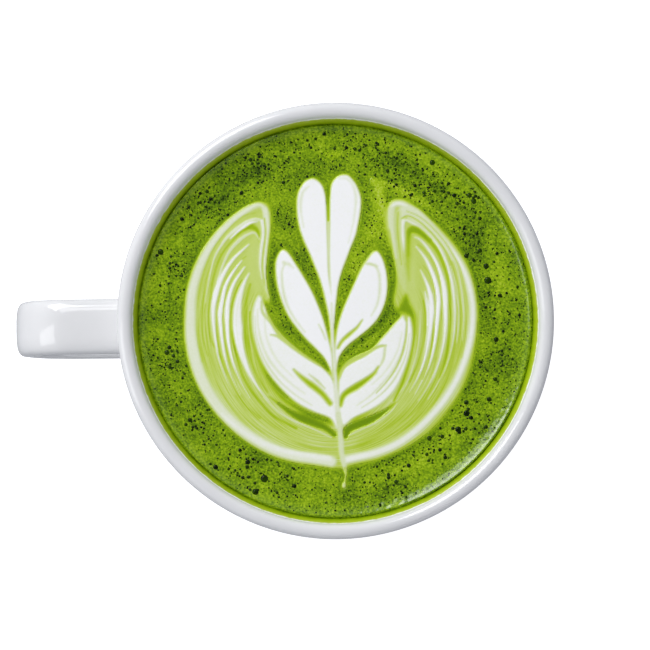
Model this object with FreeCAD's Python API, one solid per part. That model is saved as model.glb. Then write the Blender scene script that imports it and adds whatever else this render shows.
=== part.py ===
"""A matcha latte in its porcelain cup: cup with strap handle, green drink and the milk figure on it.

Millimetres. The origin is the centre of the cup's foot, on the table. +Z is up and the handle
points to -X. Every fitted piece takes its size from the same values as the piece it fits.
"""

import math
import os

import FreeCAD
import Part
from FreeCAD import Vector

# Cup: a thrown bowl with straight flaring walls, a rounded lip and a low foot ring.
RIM_DIAMETER = 100.0
CUP_HEIGHT = 62.0
WALL = 3.4
WALL_LEAN_DEG = 16.0  # of the wall, outwards from the vertical
BOWL_RADIUS = 30.0  # of the round between the wall and the foot, outside
FLOOR_THICKNESS = 4.5
FLOOR_ROUND = 6.0  # inside, between the floor and the round of the bowl

FOOT_DIAMETER = 55.0
FOOT_RING_WIDTH = 4.0
FOOT_HEIGHT = 3.5
FOOT_RECESS = 2.5
FOOT_ROUND = 0.8

# Handle: a strap bent into a loop, in the XZ plane.
STRAP_WIDTH = 12.8
STRAP_THICKNESS = 5.6
STRAP_CORNER = 2.3
HANDLE_OVERHANG = 25.5  # of the loop, out from the rim
HANDLE_DROP = 11.0  # from the rim down to the top of the strap
HANDLE_RISE = 18.9  # from the table up to the underside of the loop
LOWER_BEND_RATIO = 1.2  # the lower bend's radius over the upper one's
LOOP_STRAIGHT = 5.0  # between the two bends
LOOP_LEAN_DEG = 12.0  # of that straight, inwards going down
TAIL_LEAN_DEG = 10.0  # of the lower run, downwards going in
HANDLE_BLEND = 2.0  # round where the strap grows out of the wall
STRAP_START = 13.5  # from the cup's axis; what then lies inside the cup is cut away

# Drink
FILL_DROP = 5.0  # from the rim down to the drink's flat top

# Milk figure: leaves on a stem between two wings, sunk in the drink with its top flush.
FIGURE_MARGIN = 12.0  # from the wings out to the cup's wall
FIGURE_DEPTH = 1.5
FIGURE_SHIFT = -1.0  # of the wings' middle along X, from the cup's axis
WING_TIP_DEG = 62.0  # where each wing ends on its circle, above the middle
# Shares of the wings' radius, (across, along the stem), from the wings' middle.
WING_INSIDE = ((0.42, 0.62), (0.46, 0.30), (0.585, 0.0), (0.565, -0.27), (0.42, -0.57), (0.2, -0.73))
WING_FORK = (0.0, -0.79)  # where the two wings meet at the stem
# Each outline is smooth from its corner on the stem round to its last point, and straight back.
LEAVES = {
    "left_lobe": (
        (0.01, -0.10), (-0.05, 0.19), (-0.13, 0.40), (-0.23, 0.68),
        (-0.235, 0.84), (-0.13, 0.99), (-0.04, 0.88), (0.005, 0.70),
    ),
    "right_lobe": (
        (0.01, -0.10), (0.06, 0.29), (0.14, 0.56), (0.215, 0.83),
        (0.10, 1.01), (0.005, 0.88), (-0.035, 0.70),
    ),
    "left_petal": (
        (0.01, -0.33), (-0.07, -0.24), (-0.25, -0.03), (-0.36, 0.16),
        (-0.39, 0.38), (-0.33, 0.50), (-0.25, 0.39), (-0.12, 0.19), (-0.02, -0.10),
    ),
    "right_petal": (
        (0.03, -0.30), (0.08, -0.185), (0.26, -0.04), (0.385, 0.17),
        (0.365, 0.42), (0.305, 0.49), (0.24, 0.41), (0.13, 0.21), (0.04, -0.05),
    ),
    "left_leaf": (
        (0.03, -0.74), (-0.15, -0.68), (-0.37, -0.49), (-0.52, -0.18),
        (-0.545, 0.06), (-0.49, 0.18), (-0.42, 0.0), (-0.22, -0.18), (-0.03, -0.36),
    ),
    "right_leaf": (
        (0.04, -0.74), (0.17, -0.66), (0.38, -0.50), (0.53, -0.22),
        (0.55, -0.02), (0.505, 0.035), (0.41, -0.06), (0.21, -0.24), (0.05, -0.42),
    ),
    "stem": (
        (0.01, -0.05), (-0.01, -0.35), (0.03, -0.75), (0.055, -0.96),
        (0.095, -1.145), (0.10, -0.96), (0.075, -0.75), (0.04, -0.35),
    ),
}

NEAR = 1e-3  # how close two places are to count as one
EDGE_SAMPLES = 5  # points looked at along an edge, to tell where it lies


def at(r, z):
    """The point at radius r and height z in the profile plane."""
    return Vector(r, 0, z)


def line(a, b):
    return Part.LineSegment(a, b).toShape()


def arc_about(centre, radius, from_deg, to_deg):
    """An arc in the profile plane, with its angles measured from +X towards +Z."""
    angles = [math.radians(a) for a in (from_deg, (from_deg + to_deg) / 2, to_deg)]
    ends = [centre + Vector(math.cos(a), 0, math.sin(a)) * radius for a in angles]
    return Part.Arc(*ends).toShape()


def angle_of(centre, point):
    return math.degrees(math.atan2(point.z - centre.z, point.x - centre.x))


def revolve(edges):
    face = Part.Face(Part.Wire(edges))
    return face.revolve(Vector(0, 0, 0), Vector(0, 0, 1), 360)


def bowl_lines():
    """What the inside and the outside of the bowl are both worked out from."""
    lean = math.radians(WALL_LEAN_DEG)
    down = Vector(-math.sin(lean), 0, -math.cos(lean))
    inward = Vector(-math.cos(lean), 0, math.sin(lean))
    lip = at(RIM_DIAMETER / 2 - WALL / 2, CUP_HEIGHT - WALL / 2)
    wall_top = lip - inward * (WALL / 2)
    foot = at(FOOT_DIAMETER / 2, FOOT_HEIGHT)
    # The bowl's round touches the wall's line and passes through the top of the foot.
    reach = wall_top + inward * BOWL_RADIUS - foot
    half = reach.dot(down)
    run = -half - math.sqrt(half**2 - reach.dot(reach) + BOWL_RADIUS**2)
    wall_foot = wall_top + down * run
    centre = wall_foot + inward * BOWL_RADIUS
    return {
        "inward": inward,
        "lip": lip,
        "wall_top": wall_top,
        "wall_foot": wall_foot,
        "centre": centre,
        "foot": foot,
    }


def inner_radius(z):
    """Radius of the cup's inner wall at height z, above the bowl's round."""
    b = bowl_lines()
    top = b["wall_top"] + b["inward"] * WALL
    return top.x - (top.z - z) * math.tan(math.radians(WALL_LEAN_DEG))


def inner_outline(b, top_point):
    """Edges of the inside from a point on the inner wall down to the floor's centre."""
    inner_foot = b["wall_foot"] + b["inward"] * WALL
    floor_z = FOOT_RECESS + FLOOR_THICKNESS
    radius = BOWL_RADIUS - WALL
    floor_edge = at(b["centre"].x + math.sqrt(radius**2 - (b["centre"].z - floor_z) ** 2), floor_z)
    return [
        line(top_point, inner_foot),
        arc_about(
            b["centre"],
            radius,
            angle_of(b["centre"], inner_foot),
            angle_of(b["centre"], floor_edge),
        ),
        line(floor_edge, at(0, floor_z)),
    ]


def round_edges(solid, radius, wanted):
    """The solid with a round of that radius on each edge for which wanted(edge) is true."""
    return solid.makeFillet(radius, [e for e in solid.Edges if wanted(e)])


def is_ring(edge, radius, z):
    """True for a full circle round the cup's axis at that radius and height."""
    curve = edge.Curve
    if not isinstance(curve, Part.Circle):
        return False
    return abs(curve.Radius - radius) < NEAR and abs(curve.Center.z - z) < NEAR


def bowl():
    b = bowl_lines()
    inner_top = b["lip"] + b["inward"] * (WALL / 2)
    ring_in = FOOT_DIAMETER / 2 - FOOT_RING_WIDTH
    foot_out = at(FOOT_DIAMETER / 2, 0)
    outside = [
        line(at(0, FOOT_RECESS), at(ring_in, FOOT_RECESS)),
        line(at(ring_in, FOOT_RECESS), at(ring_in, 0)),
        line(at(ring_in, 0), foot_out),
        line(foot_out, b["foot"]),
        arc_about(
            b["centre"],
            BOWL_RADIUS,
            angle_of(b["centre"], b["foot"]),
            angle_of(b["centre"], b["wall_foot"]),
        ),
        line(b["wall_foot"], b["wall_top"]),
        arc_about(b["lip"], WALL / 2, angle_of(b["lip"], b["wall_top"]), 90),
        arc_about(b["lip"], WALL / 2, 90, angle_of(b["lip"], inner_top)),
    ]
    inside = inner_outline(b, inner_top)
    axis = line(at(0, FOOT_RECESS + FLOOR_THICKNESS), at(0, FOOT_RECESS))
    solid = revolve(outside + inside + [axis])
    rings = [(ring_in, 0), (foot_out.x, 0), (b["foot"].x, b["foot"].z)]
    solid = round_edges(
        solid, FOOT_ROUND, lambda e: any(is_ring(e, r, z) for r, z in rings)
    )
    return rounded_floor(solid)


def rounded_floor(solid):
    """The same solid with the corner round the inside of its floor rounded."""
    floor_z = FOOT_RECESS + FLOOR_THICKNESS
    return round_edges(
        solid,
        FLOOR_ROUND,
        lambda e: isinstance(e.Curve, Part.Circle)
        and abs(e.Curve.Center.z - floor_z) < NEAR,
    )


def handle_path():
    """The strap's middle line, from inside the cup out, round the loop and back in."""
    half = STRAP_THICKNESS / 2
    top_z = CUP_HEIGHT - HANDLE_DROP - half
    lean, tail = math.radians(LOOP_LEAN_DEG), math.radians(TAIL_LEAN_DEG)
    # The two bends and the straight between them fill the loop's height.
    bends = top_z - HANDLE_RISE - half - LOOP_STRAIGHT * math.cos(lean)
    upper_radius = bends / (1 + LOWER_BEND_RATIO + (1 - LOWER_BEND_RATIO) * math.sin(lean))
    lower_radius = upper_radius * LOWER_BEND_RATIO
    reach = RIM_DIAMETER / 2 + HANDLE_OVERHANG
    upper = at(reach - half - upper_radius, top_z - upper_radius)
    out = Vector(math.cos(lean), 0, -math.sin(lean))
    down = Vector(-math.sin(lean), 0, -math.cos(lean))
    lower = upper + out * (upper_radius - lower_radius) + down * LOOP_STRAIGHT
    tail_from = lower + Vector(math.sin(tail), 0, -math.cos(tail)) * lower_radius
    inward = Vector(-math.cos(tail), 0, -math.sin(tail))
    tail_to = tail_from + inward * ((tail_from.x - STRAP_START) / math.cos(tail))
    edges = [
        line(at(STRAP_START, top_z), at(upper.x, top_z)),
        arc_about(upper, upper_radius, 90, -LOOP_LEAN_DEG),
        line(upper + out * upper_radius, lower + out * lower_radius),
        arc_about(lower, lower_radius, -LOOP_LEAN_DEG, TAIL_LEAN_DEG - 90),
        line(tail_from, tail_to),
    ]
    return Part.Wire(edges)


def strap_section(x, z):
    """A rounded rectangle across the strap, in the plane at x."""
    w, t, c = STRAP_WIDTH / 2, STRAP_THICKNESS / 2, STRAP_CORNER
    flat = c * (1 - math.sqrt(0.5))
    edges = []
    for quarter in range(4):
        # Each quarter turn carries one side and the corner after it.
        a, b = (w, t) if quarter % 2 == 0 else (t, w)
        turn = quarter * math.pi / 2
        side = [(a, -b + c), (a, b - c), (a - flat, b - flat), (a - c, b)]
        pts = [
            Vector(
                x,
                u * math.cos(turn) - v * math.sin(turn),
                z + u * math.sin(turn) + v * math.cos(turn),
            )
            for u, v in side
        ]
        edges.append(Part.LineSegment(pts[0], pts[1]).toShape())
        edges.append(Part.Arc(pts[1], pts[2], pts[3]).toShape())
    return Part.Wire(edges)


def handle():
    path = handle_path()
    start = path.Vertexes[0].Point
    strap = path.makePipeShell([strap_section(start.x, start.z)], True, False)
    return strap.rotate(Vector(0, 0, 0), Vector(0, 0, 1), 180)


def cavity(top_z):
    """The inside of the cup, as a solid, up to the height top_z."""
    b = bowl_lines()
    top = at(inner_radius(top_z), top_z)
    floor_z = FOOT_RECESS + FLOOR_THICKNESS
    edges = inner_outline(b, top)
    edges += [line(at(0, floor_z), at(0, top_z)), line(at(0, top_z), top)]
    return rounded_floor(revolve(edges))


def on_outside(point):
    """True for a point on the outside of the bowl, on its straight wall or its round."""
    b = bowl_lines()
    radius = math.hypot(point.x, point.y)
    if point.z > b["wall_foot"].z:
        wall = b["wall_top"].x - (b["wall_top"].z - point.z) * math.tan(math.radians(WALL_LEAN_DEG))
        return abs(radius - wall) < NEAR
    reach = math.hypot(radius - b["centre"].x, point.z - b["centre"].z)
    return abs(reach - BOWL_RADIUS) < NEAR


def is_handle_root(edge):
    """True for an edge where the strap meets the bowl."""
    if isinstance(edge.Curve, Part.Circle):
        return False
    return all(on_outside(point) for point in edge.discretize(EDGE_SAMPLES))


def cup():
    """The bowl and its handle, with a round where the strap grows out of the wall."""
    grip = handle().cut(cavity(CUP_HEIGHT - WALL / 2))
    whole = bowl().fuse(max(grip.Solids, key=lambda s: s.Volume)).removeSplitter()
    return round_edges(whole, HANDLE_BLEND, is_handle_root)


def smooth(points):
    curve = Part.BSplineCurve()
    curve.interpolate(points)
    return curve.toShape()


def milk_figure():
    """The figure as one flat solid, its top level with the drink's."""
    top = CUP_HEIGHT - FILL_DROP
    radius = inner_radius(top) - FIGURE_MARGIN

    def spot(share):
        return Vector(FIGURE_SHIFT + share[0] * radius, share[1] * radius, top)

    def slab(*edges):
        return Part.Face(Part.Wire(edges)).extrude(Vector(0, 0, -FIGURE_DEPTH))

    tip = math.radians(WING_TIP_DEG)
    tips = [spot((side * math.cos(tip), math.sin(tip))) for side in (-1, 1)]
    left = [spot((-across, along)) for across, along in WING_INSIDE]
    right = [spot(share) for share in reversed(WING_INSIDE)]
    inside = smooth([tips[0]] + left + [spot(WING_FORK)] + right + [tips[1]])
    wings = slab(inside, Part.Arc(tips[1], spot((0, -1)), tips[0]).toShape())
    leaves = []
    for outline in LEAVES.values():
        points = [spot(share) for share in outline]
        leaves.append(slab(smooth(points), line(points[-1], points[0])))
    return wings.fuse(leaves).removeSplitter().Solids[0]


def main():
    os.makedirs("parts", exist_ok=True)
    figure = milk_figure()
    drink = cavity(CUP_HEIGHT - FILL_DROP).cut(figure)
    cup().exportStep("parts/cup.step")
    drink.Solids[0].exportStep("parts/matcha_latte.step")
    figure.exportStep("parts/milk_figure.step")


main()
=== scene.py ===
"""A matcha latte with a poured milk figure, in a white porcelain cup on a pale table.

Everything is in metres in the cup's own frame: +Z up, the handle towards -X, the foot on z = 0.
Millimetres in the tables below are turned to metres by MM.
"""

import math
import random

import bpy
import numpy as np
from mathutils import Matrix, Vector, noise


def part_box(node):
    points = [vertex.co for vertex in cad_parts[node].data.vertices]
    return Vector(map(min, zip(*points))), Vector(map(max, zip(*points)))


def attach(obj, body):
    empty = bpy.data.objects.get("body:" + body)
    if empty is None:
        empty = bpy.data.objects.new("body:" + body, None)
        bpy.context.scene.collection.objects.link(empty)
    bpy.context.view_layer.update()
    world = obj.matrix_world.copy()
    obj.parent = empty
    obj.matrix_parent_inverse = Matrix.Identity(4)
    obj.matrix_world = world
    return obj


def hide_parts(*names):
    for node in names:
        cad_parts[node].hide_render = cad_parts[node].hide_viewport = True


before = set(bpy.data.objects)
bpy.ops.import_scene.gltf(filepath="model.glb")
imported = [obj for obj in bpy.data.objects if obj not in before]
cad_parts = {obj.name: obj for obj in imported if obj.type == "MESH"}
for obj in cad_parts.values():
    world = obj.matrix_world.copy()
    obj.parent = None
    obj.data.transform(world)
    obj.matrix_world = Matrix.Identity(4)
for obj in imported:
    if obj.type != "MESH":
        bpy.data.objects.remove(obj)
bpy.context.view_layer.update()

MM = 0.001
cup_low, cup_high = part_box("cup")
drink_low, drink_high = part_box("matcha_latte")
RIM_RADIUS = cup_high[0]
CUP_HEIGHT = cup_high[2]
LEVEL = drink_high[2]
FLOOR_LEVEL = drink_low[2]
DRINK_RADIUS = drink_high[0]
HANDLE_END = cup_low[0]

# The cup's own sizes, as turned and cast.
WALL = 3.4 * MM
WALL_LEAN = math.radians(16)
BOWL_RADIUS = 30 * MM
FLOOR_ROUND = 6 * MM
FOOT_RADIUS = 27.5 * MM
FOOT_RING = 4 * MM
FOOT_HEIGHT = 3.5 * MM
FOOT_RECESS = 2.5 * MM
FOOT_ROUND = 0.8 * MM
BARE_HEIGHT = 0.5 * MM  # up to which the foot is free of glaze
CUP_SIDES = 224

STRAP_WIDTH = 12.8 * MM
STRAP_THICKNESS = 5.6 * MM
STRAP_SQUARENESS = 3.5  # 2 is an oval, and more is squarer
STRAP_SIDES = 48
HANDLE_DROP = 11 * MM
HANDLE_RISE = 18.9 * MM
LOWER_BEND_RATIO = 1.2
LOOP_STRAIGHT = 5 * MM
LOOP_LEAN = math.radians(12)
TAIL_LEAN = math.radians(10)
HANDLE_BLEND = 3.0 * MM
ROOT_STEP = 0.1 * MM  # between the spread root and the wall, so that they meet at an angle
ROOT_RUNS = (9 * MM, 7 * MM)  # of the strap's upper and lower end, drawn finely to take the spread
ROOT_CUTS = 42
BEND_CUTS = 18
RUN_CUTS = 4

random.seed(7)


# ---------------------------------------------------------------- helpers

def clear_selection():
    """Leaves edit mode and deselects everything."""
    if bpy.context.object and bpy.context.object.mode != "OBJECT":
        bpy.ops.object.mode_set(mode="OBJECT")
    bpy.ops.object.select_all(action="DESELECT")


def only(obj):
    clear_selection()
    obj.select_set(True)
    bpy.context.view_layer.objects.active = obj


def coordinates(obj):
    co = np.empty(len(obj.data.vertices) * 3)
    obj.data.vertices.foreach_get("co", co)
    return co.reshape(-1, 3)


def set_coordinates(obj, co):
    obj.data.vertices.foreach_set("co", np.ascontiguousarray(co, dtype=np.float32).ravel())
    obj.data.update()


def edit_all():
    """Opens the active piece in edit mode with all of it selected."""
    bpy.ops.object.mode_set(mode="EDIT")
    bpy.ops.mesh.select_all(action="SELECT")


def face_outward():
    """Turns the open piece's faces outward and leaves edit mode."""
    bpy.ops.mesh.select_all(action="SELECT")
    bpy.ops.mesh.normals_make_consistent(inside=False)
    bpy.ops.object.mode_set(mode="OBJECT")


def pick_vertices(obj, chosen):
    """Opens a piece in edit mode with only the chosen vertices selected."""
    bpy.ops.object.mode_set(mode="EDIT")
    bpy.ops.mesh.select_mode(type="VERT")
    bpy.ops.mesh.select_all(action="DESELECT")
    bpy.ops.object.mode_set(mode="OBJECT")
    obj.data.vertices.foreach_set("select", chosen)
    bpy.ops.object.mode_set(mode="EDIT")


def draw_ring(profile):
    """Draws the selected ring, at the profile's first (radius, height), through the rest of it."""
    for (radius, height), (new_radius, new_height) in zip(profile, profile[1:]):
        grow = new_radius / radius
        bpy.ops.mesh.extrude_region_move(TRANSFORM_OT_translate={"value": (0, 0, new_height - height)})
        bpy.ops.transform.resize(value=(grow, grow, 1), center_override=(0, 0, 0))


def settle(obj, name, body="root"):
    """Names a finished piece, puts its place in its mesh and makes it ride on its body."""
    only(obj)
    bpy.ops.object.transform_apply(location=True, rotation=True, scale=True)
    obj.name = name
    obj.data.name = name
    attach(obj, body)
    return obj


def linear(hex_colour):
    """An sRGB hex colour as linear red, green, blue and full alpha."""
    out = []
    for i in (1, 3, 5):
        v = int(hex_colour[i:i + 2], 16) / 255
        out.append(v / 12.92 if v <= 0.04045 else ((v + 0.055) / 1.055) ** 2.4)
    return (*out, 1.0)


def put(tree, kind, inputs=(), stops=(), **settings):
    """Adds a shader node with its settings; each input is given a value or another node's output."""
    made = tree.nodes.new("ShaderNode" + kind)
    for name, value in settings.items():
        setattr(made, name, value)
    for place, colour in stops:
        spot = made.color_ramp.elements.new(place)
        spot.color = linear(colour)
    if stops:
        made.color_ramp.elements.remove(made.color_ramp.elements[0])
        made.color_ramp.elements.remove(made.color_ramp.elements[-1])
    for name, value in dict(inputs).items():
        if isinstance(value, bpy.types.NodeSocket):
            tree.links.new(value, made.inputs[name])
        else:
            made.inputs[name].default_value = value
    return made


def grain(tree, place, apart, detail):
    """Noise from 0 to 1 whose lumps lie about this far apart."""
    return put(tree, "TexNoise", {"Vector": place, "Scale": 1 / apart, "Detail": detail}).outputs["Fac"]


def ranged(tree, value, low, high, to_low=0.0, to_high=1.0):
    """A value moved from the range low to high into another range, and held inside it."""
    ends = {"From Min": low, "From Max": high, "To Min": to_low, "To Max": to_high}
    return put(tree, "MapRange", {"Value": value, **ends}).outputs["Result"]


def new_material(name):
    """An empty material and its node tree."""
    material = bpy.data.materials.new(name)
    material.use_nodes = True
    material.node_tree.nodes.clear()
    return material, material.node_tree


def places(tree):
    """Places on the piece, in its own metres."""
    return put(tree, "TexCoord").outputs["Object"]


def cover_with(tree, inputs):
    """Ends a material in one shader with these inputs."""
    shader = put(tree, "BsdfPrincipled", inputs)
    put(tree, "OutputMaterial", {"Surface": shader.outputs["BSDF"]})


# ---------------------------------------------------------------- porcelain cup

def arc(centre, radius, start, end, steps):
    """Points (radius, height) on an arc in the profile plane, angles from outwards towards up."""
    turn = [start + (end - start) * i / steps for i in range(steps + 1)]
    return [(centre[0] + radius * math.cos(a), centre[1] + radius * math.sin(a)) for a in turn]


def straight(a, b, steps):
    return [(a[0] + (b[0] - a[0]) * i / steps, a[1] + (b[1] - a[1]) * i / steps) for i in range(1, steps)]


def bowl_facts():
    """Where the bowl's round touches its straight wall, and the round's centre."""
    inward = Vector((-math.cos(WALL_LEAN), math.sin(WALL_LEAN)))
    down = Vector((-math.sin(WALL_LEAN), -math.cos(WALL_LEAN)))
    lip = Vector((RIM_RADIUS - WALL / 2, CUP_HEIGHT - WALL / 2))
    top = lip - inward * (WALL / 2)
    reach = top + inward * BOWL_RADIUS - Vector((FOOT_RADIUS, FOOT_HEIGHT))
    half = reach.dot(down)
    wall_foot = top + down * (-half - math.sqrt(half ** 2 - reach.dot(reach) + BOWL_RADIUS ** 2))
    return lip, top, wall_foot, wall_foot + inward * BOWL_RADIUS


LIP, WALL_TOP, WALL_FOOT, BOWL_CENTRE = bowl_facts()


def inner_radius(z):
    """Radius of the inside of the straight wall at height z."""
    top = LIP[0] - WALL / 2 * math.cos(WALL_LEAN), LIP[1] + WALL / 2 * math.sin(WALL_LEAN)
    return top[0] - (top[1] - z) * math.tan(WALL_LEAN)


def inside_profile(shrink=0.0):
    """The cavity's wall from the end of the straight part down to the floor, then its round corner."""
    radius = BOWL_RADIUS - WALL - shrink
    floor = FLOOR_LEVEL + shrink
    round_z = floor + FLOOR_ROUND
    drop = BOWL_CENTRE[1] - round_z
    round_r = BOWL_CENTRE[0] + math.sqrt((radius - FLOOR_ROUND) ** 2 - drop ** 2)
    touch = math.atan2(round_z - BOWL_CENTRE[1], round_r - BOWL_CENTRE[0])
    bowl = arc(BOWL_CENTRE, radius, -WALL_LEAN, touch, 16)
    corner = arc((round_r, round_z), FLOOR_ROUND, touch, -math.pi / 2, 6)
    return bowl + corner[1:]


def cup_profile():
    """The whole cup, from the middle of its underside round the foot, wall and lip to its floor."""
    ring_in = FOOT_RADIUS - FOOT_RING
    foot_angle = math.atan2(FOOT_HEIGHT - BOWL_CENTRE[1], FOOT_RADIUS - BOWL_CENTRE[0])
    under = [(ring_in * f, FOOT_RECESS) for f in (0.12, 0.4, 0.7, 0.9)]
    under += arc((ring_in - FOOT_ROUND, FOOT_RECESS - FOOT_ROUND), FOOT_ROUND, math.pi / 2, 0, 4)
    under += arc((ring_in + FOOT_ROUND, FOOT_ROUND), FOOT_ROUND, math.pi, 1.5 * math.pi, 5)
    under += [(FOOT_RADIUS - FOOT_RING / 2, 0)]
    under += arc((FOOT_RADIUS - FOOT_ROUND, FOOT_ROUND), FOOT_ROUND, -math.pi / 2, 0, 5)
    join = (FOOT_RADIUS + FOOT_ROUND, FOOT_HEIGHT - 0.1 * FOOT_ROUND)
    under += arc(join, FOOT_ROUND, math.pi, math.pi - 0.9, 4)
    bowl = arc(BOWL_CENTRE, BOWL_RADIUS, foot_angle + 0.035, -WALL_LEAN, 22)
    lip = arc(LIP, WALL / 2, -WALL_LEAN, math.pi - WALL_LEAN, 22)
    inside = inside_profile()
    return (
        under + bowl + straight(bowl[-1], lip[0], 14) + lip + straight(lip[-1], inside[0], 14) + inside
    )


def turned(name, profile, sides, closed=True):
    """A ring drawn through a profile's (radius, height) points, as on a potter's wheel.

    A closed one has both its ends drawn in to the axis.
    """
    clear_selection()
    radius, height = profile[0]
    bpy.ops.mesh.primitive_circle_add(vertices=sides, radius=radius, location=(0, 0, height))
    obj = bpy.context.object
    obj.name = name
    edit_all()
    if closed:
        bpy.ops.mesh.extrude_region_move()
        bpy.ops.mesh.merge(type="CENTER")
        bpy.ops.object.mode_set(mode="OBJECT")
        pick_vertices(obj, np.hypot(*coordinates(obj)[:, :2].T) > radius / 2)
    draw_ring(profile)
    if closed:
        bpy.ops.mesh.extrude_region_move()
        bpy.ops.mesh.merge(type="CENTER")
    face_outward()
    bpy.ops.object.transform_apply(location=True, rotation=True, scale=True)
    bpy.ops.object.shade_smooth()
    return obj


def wall_distance(co):
    """How far each point is outside the bowl's outer surface."""
    radius = np.hypot(co[:, 0], co[:, 1])
    cone = (radius - WALL_TOP[0]) * math.cos(WALL_LEAN) - (co[:, 2] - WALL_TOP[1]) * math.sin(WALL_LEAN)
    bowl = np.hypot(radius - BOWL_CENTRE[0], co[:, 2] - BOWL_CENTRE[1]) - BOWL_RADIUS
    return np.where(co[:, 2] > WALL_FOOT[1], cone, bowl)


def handle_strap():
    """The strap: a rounded rectangle drawn out, bent over, down and back in to the wall."""
    top = CUP_HEIGHT - HANDLE_DROP - STRAP_THICKNESS / 2
    bends = top - HANDLE_RISE - STRAP_THICKNESS / 2 - LOOP_STRAIGHT * math.cos(LOOP_LEAN)
    upper_r = bends / (1 + LOWER_BEND_RATIO + (1 - LOWER_BEND_RATIO) * math.sin(LOOP_LEAN))
    lower_r = upper_r * LOWER_BEND_RATIO
    upper = Vector((HANDLE_END + STRAP_THICKNESS / 2 + upper_r, 0, top - upper_r))
    out = Vector((-math.cos(LOOP_LEAN), 0, -math.sin(LOOP_LEAN)))
    down = Vector((math.sin(LOOP_LEAN), 0, -math.cos(LOOP_LEAN)))
    lower = upper + out * (upper_r - lower_r) + down * LOOP_STRAIGHT
    tail = Vector((math.cos(TAIL_LEAN), 0, -math.sin(TAIL_LEAN)))
    start_x = -(WALL_TOP[0] - (WALL_TOP[1] - top) * math.tan(WALL_LEAN)) + 0.55 * WALL

    clear_selection()
    bpy.ops.mesh.primitive_circle_add(vertices=STRAP_SIDES, radius=1, fill_type="NGON")
    strap = bpy.context.object
    ring = coordinates(strap)
    section = np.sign(ring) * np.abs(ring) ** (2 / STRAP_SQUARENESS)
    wide = section[:, 0] * STRAP_WIDTH / 2
    high = top + section[:, 1] * STRAP_THICKNESS / 2
    set_coordinates(strap, np.stack([np.full(len(ring), start_x), wide, high], axis=1))
    edit_all()
    run = upper.x - start_x
    root = -ROOT_RUNS[0]
    for step in straight_steps(root, ROOT_CUTS) + straight_steps(run - root, RUN_CUTS):
        bpy.ops.mesh.extrude_region_move(TRANSFORM_OT_translate={"value": (step, 0, 0)})
    spin = {"axis": (0, 1, 0), "use_auto_merge": False}
    bpy.ops.mesh.spin(steps=BEND_CUTS, angle=math.pi / 2 + LOOP_LEAN, center=upper, **spin)
    for step in straight_steps(LOOP_STRAIGHT, RUN_CUTS):
        bpy.ops.mesh.extrude_region_move(TRANSFORM_OT_translate={"value": down * step})
    bpy.ops.mesh.spin(steps=BEND_CUTS, angle=math.pi / 2 - LOOP_LEAN - TAIL_LEAN, center=lower, **spin)
    tail_from = lower + Vector((-math.sin(TAIL_LEAN), 0, -math.cos(TAIL_LEAN))) * lower_r
    wall_r = WALL_FOOT[0] - 0.5 * MM
    run = (-tail_from.x - wall_r) / math.cos(TAIL_LEAN)
    root = ROOT_RUNS[1]
    for step in straight_steps(run - root, RUN_CUTS) + straight_steps(root + 0.5 * WALL, ROOT_CUTS):
        bpy.ops.mesh.extrude_region_move(TRANSFORM_OT_translate={"value": tail * step})
    face_outward()
    bpy.ops.object.shade_smooth()
    grow_root(strap)
    return strap


def straight_steps(length, count):
    """Equal steps along a straight run."""
    return [length / count] * count


def grow_root(strap):
    """Spreads the strap into the wall with a hollow round, as where a handle is luted on."""
    co = coordinates(strap)
    normals = np.empty(len(co) * 3)
    strap.data.vertices.foreach_get("normal", normals)
    normals = normals.reshape(-1, 3)
    away = np.clip(wall_distance(co), ROOT_STEP, HANDLE_BLEND)
    spread = HANDLE_BLEND - np.sqrt(HANDLE_BLEND ** 2 - (HANDLE_BLEND - away) ** 2)
    ends = np.abs(normals[:, 0]) > 0.9
    spread[ends] = 0
    set_coordinates(strap, co + normals * spread[:, None])


def porcelain_cup():
    bowl = turned("porcelain_cup", cup_profile(), CUP_SIDES)
    strap = handle_strap()
    only(bowl)
    union = bowl.modifiers.new("luted", "BOOLEAN")
    union.operation = "UNION"
    union.solver = "EXACT"
    union.object = strap
    bpy.ops.object.modifier_apply(modifier=union.name)
    bpy.data.objects.remove(strap)
    bpy.ops.object.shade_smooth()
    cup = settle(bowl, "porcelain_cup")
    cup.data.materials.append(glazed_porcelain())
    cup.data.materials.append(bare_porcelain())
    centres = np.empty(len(cup.data.polygons) * 3)
    cup.data.polygons.foreach_get("center", centres)
    height = centres.reshape(-1, 3)[:, 2]
    bare = (height < BARE_HEIGHT).astype(np.int32)
    cup.data.polygons.foreach_set("material_index", bare)
    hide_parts("cup")


def glazed_porcelain():
    """Hard porcelain, slip-cast and dipped in clear glaze: cool white, wet gloss, faint waviness."""
    material, tree = new_material("porcelain, dipped in clear glaze")
    place = places(tree)
    # Glaze lies a little thicker and thinner over stretches of 9 mm.
    pool = grain(tree, place, 9 * MM, 2.0)
    tint = put(tree, "ValToRGB", {"Fac": pool}, stops=((0.3, "#e9e9ea"), (0.7, "#ececed")))
    # Orange peel of the fired glaze, 1.6 mm from crest to crest.
    peel = grain(tree, place, 1.6 * MM, 1.0)
    bump = put(tree, "Bump", {"Height": peel, "Strength": 0.012, "Distance": 0.3 * MM})
    cover_with(tree, {
        "Base Color": tint.outputs["Color"],
        "Roughness": ranged(tree, pool, 0.0, 1.0, 0.04, 0.08),
        "Normal": bump.outputs["Normal"],
        "IOR": 1.52,
        "Coat Weight": 0.25,
        "Coat Roughness": 0.04,
    })
    return material


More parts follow.
